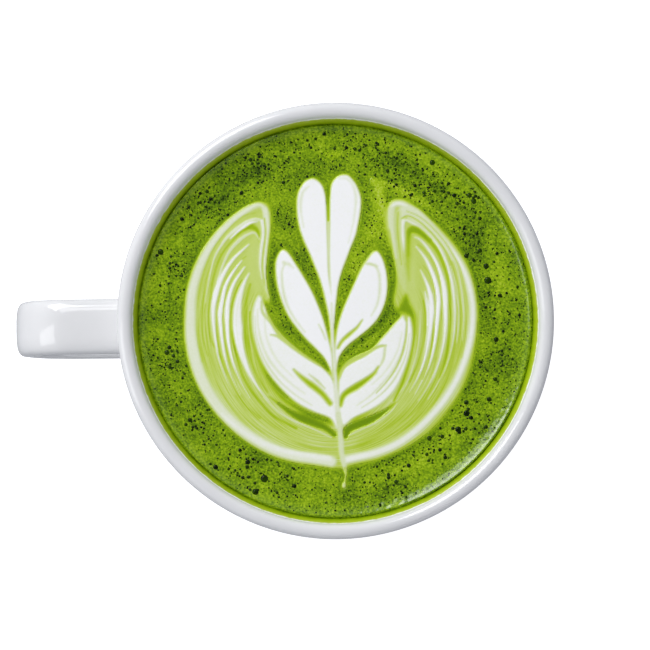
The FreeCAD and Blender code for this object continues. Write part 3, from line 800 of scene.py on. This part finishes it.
def comb_lines(xy):
    """Which of the wings' nested ovals a point lies on, as its half width in mm, and how far round.

    Under the middle the ovals go from the leaves' outline out to the wings' round rim, and above it
    they draw together towards the wing tips.
    """
    across = np.abs(xy[:, 0] - WING_MIDDLE)
    low, high = np.full(len(xy), 1.0), np.full(len(xy), 70.0)
    for _ in range(24):
        half = (low + high) / 2
        below = 15.8 + 0.527 * half
        above = np.maximum(half - 3 + 3 * ease((half - 27) / 6), 0.5)
        tall = np.where(xy[:, 1] < 0, below, above)
        outside = (across / half) ** 2 + (xy[:, 1] / tall) ** 2 > 1
        low = np.where(outside, half, low)
        high = np.where(outside, high, half)
    return half, np.arctan2(xy[:, 1], across)


def paint(obj):
    """Puts the figure on a mesh: how much milk, how frothy, how combed, and along which oval."""
    xy = coordinates(obj)[:, :2] / MM
    oval, along = comb_lines(xy)
    for name, values in zip(("milk", "froth", "combed", "oval", "along"), (*milk_at(xy), oval, along)):
        attribute(obj, name, values)


def attribute(obj, name, values):
    layer = obj.data.attributes.new(name, "FLOAT", "POINT")
    layer.data.foreach_set("value", np.ascontiguousarray(values, dtype=np.float32))


def relief(xy, milk):
    """Height of the drink's surface over its level, in mm: it climbs at the wall, swells slowly,
    and stands a little higher where milk lies."""
    from_wall = DRINK_RADIUS / MM - np.hypot(xy[:, 0], xy[:, 1])
    climb = sum(rise * np.exp(-np.maximum(from_wall, 0) / reach) for rise, reach in MENISCUS)
    swell = 0.05 * np.sin(xy[:, 0] / 6.1 + 1.3) * np.sin(xy[:, 1] / 7.3 + 0.4)
    return climb + swell + 0.10 * ease(milk) + 0.05 * ease((milk - 0.5) * 2)


# ---------------------------------------------------------------- drink

# The drink climbs at the wall in a steep lip and a long low slope: (height, reach), in mm.
MENISCUS = ((0.8, 1.3), (0.8, 4.6))
FOAM_RADIUS = DRINK_RADIUS - 0.40 * MM
FOAM_GRID = 280
EDGE_ROUND = 0.5 * MM
GLAZE_GAP = 0.04 * MM  # between the drink and the inside of the cup


def disc_grid(name, radius, cells):
    """A square grid drawn out into a disc, so that its cells stay nearly equal."""
    clear_selection()
    bpy.ops.mesh.primitive_grid_add(x_subdivisions=cells, y_subdivisions=cells, size=2)
    obj = bpy.context.object
    obj.name = name
    co = coordinates(obj)
    x, y = co[:, 0].copy(), co[:, 1].copy()
    co[:, 0] = x * np.sqrt(1 - y * y / 2) * radius
    co[:, 1] = y * np.sqrt(1 - x * x / 2) * radius
    set_coordinates(obj, co)
    return obj


def matcha_drink():
    """The green drink: its foamed top, and its body down to the cup's floor."""
    drink = disc_grid("matcha_foam", FOAM_RADIUS, FOAM_GRID)
    co = coordinates(drink)
    xy = co[:, :2] / MM
    milk, froth, _ = milk_at(xy)
    radius = np.hypot(co[:, 0], co[:, 1])
    fall = np.clip((radius - FOAM_RADIUS) / EDGE_ROUND + 1, 0, 1)
    height = relief(xy, milk)
    fine = np.array([noise.noise(Vector((x * 0.9, y * 0.9, 3.0))) for x, y in xy])
    height += 0.035 * fine * froth
    height -= SEAM_DIVE * ease((milk - FIGURE_EDGE - SEAM_LAP) / SEAM_RUN)
    co[:, 2] = LEVEL + height * MM - EDGE_ROUND * (1 - np.sqrt(1 - fall ** 2))
    set_coordinates(drink, co)
    only(drink)
    bpy.ops.object.mode_set(mode="EDIT")
    bpy.ops.mesh.select_all(action="DESELECT")
    bpy.ops.mesh.select_mode(type="EDGE")
    bpy.ops.mesh.select_non_manifold()
    start = float(co[fall >= 1, 2].mean())
    wall_top = (inner_radius(start - EDGE_ROUND) - GLAZE_GAP, start - EDGE_ROUND)
    draw_ring([(FOAM_RADIUS, start), wall_top] + inside_profile(GLAZE_GAP)[::3])
    bpy.ops.mesh.edge_face_add()
    face_outward()
    bpy.ops.object.shade_smooth()
    settle(drink, "matcha_foam")
    paint(drink)
    drink.data.materials.append(latte_surface("matcha foam, whisked", 0.0))
    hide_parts("matcha_latte")


FIGURE_CELL = 0.27 * MM
FIGURE_DEPTH = 0.9 * MM
FIGURE_SPAN = 80 * MM  # of the sheet that the figure is cut from


def milk_figure():
    """The milk: a thin sheet that comes up through the matcha wherever milk was poured."""
    clear_selection()
    cells = round(FIGURE_SPAN / FIGURE_CELL)
    bpy.ops.mesh.primitive_grid_add(x_subdivisions=cells, y_subdivisions=cells, size=FIGURE_SPAN)
    figure = bpy.context.object
    co = coordinates(figure)
    xy = co[:, :2] / MM
    milk = milk_at(xy)[0]
    height = relief(xy, milk) + SEAM_STEP - SEAM_DIVE * ease((FIGURE_EDGE - SEAM_LAP - milk) / SEAM_RUN)
    co[:, 2] = LEVEL + height * MM
    set_coordinates(figure, co)
    paint(figure)
    only(figure)
    pick_vertices(figure, milk < FIGURE_EDGE - SEAM_LAP - 0.8 * SEAM_RUN)
    bpy.ops.mesh.delete(type="VERT")
    bpy.ops.object.mode_set(mode="OBJECT")
    thick = figure.modifiers.new("thickness", "SOLIDIFY")
    thick.thickness = FIGURE_DEPTH
    thick.offset = -1
    bpy.ops.object.modifier_apply(modifier=thick.name)
    bpy.ops.object.shade_smooth()
    settle(figure, "milk_figure_foam")
    figure.data.materials.append(latte_surface("milk foam, steamed and poured", 1.0))
    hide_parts("milk_figure")


MILK_COLOURS = (
    # milk from -0.5 to 1, as places from 0 to 1
    (0.00, "#1c3200"),
    (0.17, "#3f5c00"),
    (0.30, "#6e9202"),
    (0.40, "#90b208"),
    (0.50, "#abc81e"),
    (0.60, "#bcd248"),
    (0.72, "#ccdd78"),
    (0.86, "#dfe8bb"),
    (1.00, "#e9ebef"),
)


def latte_surface(name, amount):
    """Wet whisked foam: deep green froth with dark pores, fading through lime to dense white milk."""
    material, tree = new_material(name)
    place = places(tree)
    milk, froth, combed, oval, along = (
        put(tree, "Attribute", attribute_name=name).outputs["Fac"]
        for name in ("milk", "froth", "combed", "oval", "along")
    )

    def spread(value, reach):
        return ranged(tree, value, 0.3, 0.7, -reach, reach)

    def maths(kind, a, b):
        return put(tree, "Math", {0: a, 1: b}, operation=kind).outputs[0]

    # Clouds of thicker and thinner froth, 6 mm across, and its grain at 0.5 mm.
    cloud = grain(tree, place, 6 * MM, 3.0)
    mottle = grain(tree, place, 0.5 * MM, 2.0)
    speckled = maths("MAXIMUM", froth, 0.08)
    drift = maths("MULTIPLY", maths("ADD", spread(cloud, 0.10), spread(mottle, 0.18)), speckled)
    # Milk drawn out in threads about 0.4 mm apart, strongest where milk and matcha are half mixed.
    across = maths("MULTIPLY", oval, 1 / 0.40)
    thread = put(tree, "CombineXYZ", {"X": across, "Y": maths("MULTIPLY", along, 2.4)})
    thread = grain(tree, thread.outputs[0], 1.0, 2.0)
    mixed = ranged(tree, milk, 0.55, 1.0, 0.15, 0.02)
    thread = maths("MULTIPLY", maths("MULTIPLY", spread(thread, 1.0), mixed), combed)
    whole = maths("ADD", maths("ADD", milk, drift), thread)

    def pores(spacing, smallest):
        """Burst bubbles: how deep in one each spot is, and the paler lip round it."""
        cells = put(tree, "TexVoronoi", {"Vector": place, "Scale": 1 / spacing}, feature="F1")
        chance = put(tree, "SeparateColor", {"Color": cells.outputs["Color"]}).outputs["Red"]
        crowd = ranged(tree, cloud, 0.35, 0.62, 1.0, 0.45)
        size = maths("MULTIPLY", ranged(tree, chance, smallest, 1.0, 0.0, 0.40), crowd)
        inside = maths("SUBTRACT", size, cells.outputs["Distance"])
        deep = ranged(tree, inside, -0.03, 0.10)
        lip = maths("ABSOLUTE", maths("ADD", inside, 0.11), 0.0)
        lip = maths("MULTIPLY", ranged(tree, lip, 0.0, 0.09, 1.0, 0.0), maths("GREATER_THAN", size, 0.1))
        return deep, lip

    coarse, coarse_lip = pores(0.85 * MM, 0.35)
    fine, fine_lip = pores(0.42 * MM, 0.25)
    hole = maths("MULTIPLY", maths("MAXIMUM", coarse, maths("MULTIPLY", fine, 0.6)), froth)
    lip = maths("MULTIPLY", maths("ADD", coarse_lip, maths("MULTIPLY", fine_lip, 0.5)), froth)
    # Pores darken the colour with their depth: partly the darker matcha showing in them, partly painted shade
    # inside the pits.
    whole = maths("SUBTRACT", whole, maths("MULTIPLY", hole, 0.6))
    whole = maths("ADD", whole, maths("MULTIPLY", lip, 0.12))
    colour = put(tree, "ValToRGB", {"Fac": ranged(tree, whole, -0.5, 1.0)}, stops=MILK_COLOURS)
    lumps = maths("SUBTRACT", mottle, hole)
    strength = ranged(tree, froth, 0.0, 1.0, 0.03, 0.55)
    bump = put(tree, "Bump", {"Height": lumps, "Strength": strength, "Distance": 0.12 * MM})
    cover_with(tree, {
        "Base Color": colour.outputs["Color"],
        "Roughness": 0.5,
        "IOR": 1.35,
        "Specular IOR Level": 0.15,
        "Normal": bump.outputs["Normal"],
        "Coat Weight": 1.0 - 0.6 * amount,
        "Coat Roughness": 0.12,
        "Coat IOR": 1.55,
    })
    return material


# Where bubbles crowd: (across, along, spread, how many, usual radius), in mm.
BUBBLE_DRIFTS = (
    (10, 37.5, 2.6, 60, 0.19), (15, 35.6, 2.4, 60, 0.2), (25, 29.6, 2.4, 50, 0.2), (28, 13, 2.0, 24, 0.2),
    (20, 31, 3.4, 70, 0.22), (31.5, 26, 2.4, 44, 0.28), (31, 19, 2.4, 30, 0.24), (35, 13, 2.2, 24, 0.26),
    (-31, -23, 3.0, 40, 0.24), (-22, -32.5, 2.8, 44, 0.26), (-13, -37.5, 3.0, 44, 0.24),
    (30, -23, 3.0, 30, 0.30), (22, -29, 3.0, 34, 0.26), (11, -36, 3.8, 46, 0.26), (37, -9, 3.0, 40, 0.24),
    (-30, 27, 3.2, 90, 0.21), (-17, 35.5, 3.4, 110, 0.2), (-38, 12, 3.0, 70, 0.21), (-39, -8, 3.0, 50, 0.24),
    (-6, 39.5, 3.0, 34, 0.22), (37, 4, 2.6, 30, 0.24), (3, 10.5, 1.4, 14, 0.18), (-9.5, 24, 3.0, 34, 0.2),
    (8, 39.4, 3.0, 34, 0.22), (-13.8, 6, 1.4, 12, 0.18), (-6, -6.4, 1.6, 14, 0.17), (10, 21, 2.6, 22, 0.17),
)
# The few that stand out: (across, along, radius), in mm.
LARGE_BUBBLES = (
    (35.2, 8.8, 0.85), (31.3, 28.5, 0.6), (-28, -33.2, 0.6), (-19, -39, 0.75), (-40, 16.5, 0.7),
    (28, -26, 0.5), (16.3, -33.5, 0.5), (-33.8, -22.3, 0.45), (-35, 24, 0.45), (30.5, 6.2, 0.4),
    (-10, -37.8, 0.5), (-19, 37.5, 0.45), (36.5, -14, 0.5), (35, -18.6, 0.55), (-1.9, 43.2, 0.45),
)
SCATTERED_BUBBLES = 5200  # how many are tried in all, with the ones above
SCATTERED_RADIUS = 0.13  # mm, the usual one
WALL_CLEAR = 1.0  # mm, that bubbles keep from the foam's edge
BUBBLED_FROTH = 0.75  # the froth over which a bubble stays
BUBBLE_RISE = 0.42  # of a bubble's radius, that its dome stands up
SPECK = 0.17  # mm, the radius under which a bubble needs only a few faces


def bubble_places():
    """Across, along and radius of every bubble, in mm: large ones, drifts and a thin scatter."""
    reach = FOAM_RADIUS / MM - WALL_CLEAR
    wanted = list(LARGE_BUBBLES)
    for across, along, spread, count, radius in BUBBLE_DRIFTS:
        for _ in range(count):
            size = radius * random.lognormvariate(-0.1, 0.4)
            wanted.append((random.gauss(across, spread), random.gauss(along, spread), size))
    while len(wanted) < SCATTERED_BUBBLES:
        away, turn = reach * math.sqrt(random.random()), random.uniform(0, 2 * math.pi)
        size = SCATTERED_RADIUS * random.lognormvariate(0, 0.35)
        wanted.append((away * math.cos(turn), away * math.sin(turn), size))
    spots = np.array(wanted)
    froth = milk_at(spots[:, :2])[1]
    inside = np.hypot(spots[:, 0], spots[:, 1]) + spots[:, 2] < reach
    return spots[(froth > BUBBLED_FROTH) & inside]


def domes(name, spots, rounding):
    """One joined piece of thin domes, each a flattened ball half sunk in the foam."""
    clear_selection()
    bpy.ops.mesh.primitive_ico_sphere_add(subdivisions=rounding, radius=1)
    ball = bpy.context.object
    edit_all()
    bpy.ops.transform.resize(value=(1, 1, BUBBLE_RISE), center_override=(0, 0, 0))
    bpy.ops.object.mode_set(mode="OBJECT")
    shape = coordinates(ball)
    corners = np.array([list(face.vertices) for face in ball.data.polygons])
    bpy.data.objects.remove(ball)
    height = relief(spots[:, :2], milk_at(spots[:, :2])[0]) * MM + LEVEL
    co = np.concatenate([
        shape * radius * MM + (x * MM, y * MM, z) for (x, y, radius), z in zip(spots, height)
    ])
    faces = np.concatenate([corners + len(shape) * i for i in range(len(spots))])
    mesh = bpy.data.meshes.new(name)
    mesh.from_pydata(co.tolist(), [], faces.tolist())
    joined = bpy.data.objects.new(name, mesh)
    bpy.context.scene.collection.objects.link(joined)
    only(joined)
    bpy.ops.object.shade_smooth()
    settle(joined, name)
    joined.data.materials.append(bubble_surface())


def bubbles():
    """The larger bubbles as round domes, and the specks as domes of a few faces."""
    spots = bubble_places()
    small = spots[:, 2] < SPECK
    domes("bubbles", spots[~small], 2)
    domes("froth_specks", spots[small], 1)


def bubble_surface():
    """A film of matcha over a dark hollow: nearly black green, with a wet glint."""
    material, tree = new_material("matcha bubble, wet film")
    place = places(tree)
    # Each bubble is a little lighter or darker than its neighbours, 2 mm away.
    shade = grain(tree, place, 2 * MM, 0.0)
    tint = put(tree, "ValToRGB", {"Fac": shade}, stops=((0.35, "#0e1e00"), (0.65, "#2a4400")))
    cover_with(tree, {
        "Base Color": tint.outputs["Color"],
        "Roughness": 0.08,
        "IOR": 1.33,
        "Specular IOR Level": 0.25,
    })
    return material


FILM_TOP = 3.2 * MM  # over the drink's level
FILM_THIN = 0.06 * MM  # at its top, and FILM_SWELL more at its foot
FILM_SWELL = 0.48 * MM
FILM_STEPS = 10
FILM_ROOT = 0.5 * MM  # that it reaches below the level, and out from the wall there
FILM_SUNK = 0.25 * MM  # that its back lies inside the glaze
FILM_WAVER = 0.16 * MM


def meniscus():
    """The drink drawn up the wall: a thin wet rise that ends in an uneven line."""
    foot = LEVEL - FILM_ROOT
    rise = []
    for i in range(FILM_STEPS + 1):
        f = i / FILM_STEPS
        z = LEVEL - 0.05 * MM + FILM_TOP * f
        film = FILM_THIN + FILM_SWELL * (1 - f) ** 1.5
        rise.append((inner_radius(z) - film, z))
    wall = [(inner_radius(z) + FILM_SUNK, z) for z in (LEVEL + FILM_TOP, LEVEL + FILM_TOP / 2, foot)]
    profile = [(inner_radius(foot) - FILM_ROOT, foot)] + rise + wall
    ring = turned("wet_edge", profile + profile[:1], 2 * CUP_SIDES, closed=False)
    only(ring)
    edit_all()
    bpy.ops.mesh.remove_doubles(threshold=0.001 * MM)
    face_outward()
    co = coordinates(ring)
    angle = np.arctan2(co[:, 1], co[:, 0])
    lift = np.clip((co[:, 2] - LEVEL) / FILM_TOP, 0, 1) ** 2
    waver = sum(np.sin(angle * k + k * k) / k for k in (3, 5, 9, 14, 23))
    shift = FILM_WAVER * waver * lift
    co[:, 2] += shift
    grow = 1 + shift * math.tan(WALL_LEAN) / np.hypot(co[:, 0], co[:, 1])
    co[:, :2] *= grow[:, None]
    set_coordinates(ring, co)
    settle(ring, "wet_edge")
    ring.data.materials.append(wet_edge_surface())


def wet_edge_surface():
    """Thin matcha on white glaze: light comes back through it, so it is a brighter lime than the foam. Its
    darker foot is partly thicker film and partly painted shade of the crevice against the foam.
    """
    material, tree = new_material("matcha film, wet on glaze")
    place = places(tree)
    height = put(tree, "SeparateXYZ", {"Vector": place}).outputs["Z"]
    climb = ranged(tree, height, LEVEL, LEVEL + FILM_TOP)
    # Streaks where the drink ran back down, 1.5 mm apart.
    run = ranged(tree, grain(tree, place, 1.5 * MM, 2.0), 0.0, 1.0, -0.15, 0.15)
    thin = put(tree, "Math", {0: climb, 1: run}, operation="ADD")
    # Darkest at the foot: partly the thicker film there, partly painted shade of the crevice between film and
    # foam.
    tint = put(tree, "ValToRGB", {"Fac": thin.outputs[0]}, stops=(
        (0.0, "#3c5800"), (0.15, "#749602"), (0.45, "#a2be14"), (0.85, "#c0d23a"), (1.0, "#cfdc60")))
    cover_with(tree, {
        "Base Color": tint.outputs["Color"],
        "Roughness": 0.16,
        "IOR": 1.35,
    })
    return material


# ---------------------------------------------------------------- table, light and camera

CAMERA_DISTANCE = 600 * MM  # from AIM, a point in the rim's plane
CAMERA_LENS = 145.7
CAMERA_ELEVATION = math.radians(87)
CAMERA_AZIMUTH = math.radians(0.9)
AIM = Vector((-2.42 * MM, -1.18 * MM, CUP_HEIGHT))

TABLE_SIZE = 3.0
TABLE_DROP = 0.05 * MM
TABLE_GLOW = 0.92


def table():
    """A sweep of card that glows white to the eye but lights the cup like pale grey card.

    It lies TABLE_DROP under the foot, so that their faces don't fight where they would coincide.
    """
    clear_selection()
    bpy.ops.mesh.primitive_plane_add(size=TABLE_SIZE, location=(0, 0, -TABLE_DROP))
    floor = bpy.context.object
    floor.name = "table"
    material, tree = new_material("white card, lit from behind")
    seen = put(tree, "LightPath").outputs["Is Camera Ray"]
    glow = put(tree, "Math", {0: seen, 1: TABLE_GLOW}, operation="MULTIPLY")
    cover_with(tree, {
        "Base Color": linear("#b4b6ba"),
        "Roughness": 0.9,
        "Specular IOR Level": 0.1,
        "Emission Color": linear("#ffffff"),
        "Emission Strength": glow.outputs[0],
    })
    floor.data.materials.append(material)


def softbox(name, place, size, watts):
    """A flat white lamp that faces the middle of the drink."""
    lamp = bpy.data.lights.new(name, "AREA")
    lamp.shape = "RECTANGLE"
    lamp.size, lamp.size_y = size
    lamp.energy = watts
    obj = bpy.data.objects.new(name, lamp)
    obj.location = place
    aim = Vector((0, 0, LEVEL))
    obj.rotation_euler = (aim - obj.location).to_track_quat("-Z", "Y").to_euler()
    bpy.context.scene.collection.objects.link(obj)


def lights():
    """Pale walls under a dark ceiling, and four lamps.

    The key is large and high behind the cup, and the overhead lamp is small and above it. The window
    lies beyond the handle and shows on its bend. The fill is low in front and lifts the side.
    """
    world = bpy.data.worlds.new("studio")
    world.use_nodes = True
    tree = world.node_tree
    tree.nodes.clear()
    way = put(tree, "SeparateXYZ", {"Vector": put(tree, "TexCoord").outputs["Generated"]}).outputs["Z"]
    shade = put(tree, "ValToRGB", {"Fac": way}, stops=(
        (0.0, "#c6c9cf"), (0.22, "#dfe2e8"), (0.62, "#d9dce3"), (0.96, "#4c4e54")))
    sky = put(tree, "Background", {"Color": shade.outputs["Color"], "Strength": 0.765})
    put(tree, "OutputWorld", {"Surface": sky.outputs["Background"]})
    bpy.context.scene.world = world
    softbox("key", (-0.46, 0.64, 0.80), (0.55, 0.55), 6.8)
    softbox("overhead", (-0.27, 0.43, 1.10), (0.28, 0.26), 0.7)
    softbox("window", (-0.80, -0.12, 0.76), (0.34, 0.64), 1.6)
    softbox("fill", (0.40, -0.86, 0.10), (0.8, 0.14), 0.5)


def camera():
    """A long lens almost straight above, aimed a little to the side to take in the handle."""
    lens = bpy.data.cameras.new("camera")
    lens.lens = CAMERA_LENS
    lens.sensor_width = 36
    lens.clip_end = 10
    obj = bpy.data.objects.new("camera", lens)
    flat = math.cos(CAMERA_ELEVATION)
    away = (-math.sin(CAMERA_AZIMUTH) * flat, -math.cos(CAMERA_AZIMUTH) * flat, math.sin(CAMERA_ELEVATION))
    back = Vector(away)
    obj.location = AIM + back * CAMERA_DISTANCE
    obj.rotation_euler = (-back).to_track_quat("-Z", "Y").to_euler()
    bpy.context.scene.collection.objects.link(obj)
    bpy.context.scene.camera = obj
    bpy.context.scene.view_settings.view_transform = "Standard"


porcelain_cup()
matcha_drink()
milk_figure()
bubbles()
meniscus()
table()
lights()
camera()
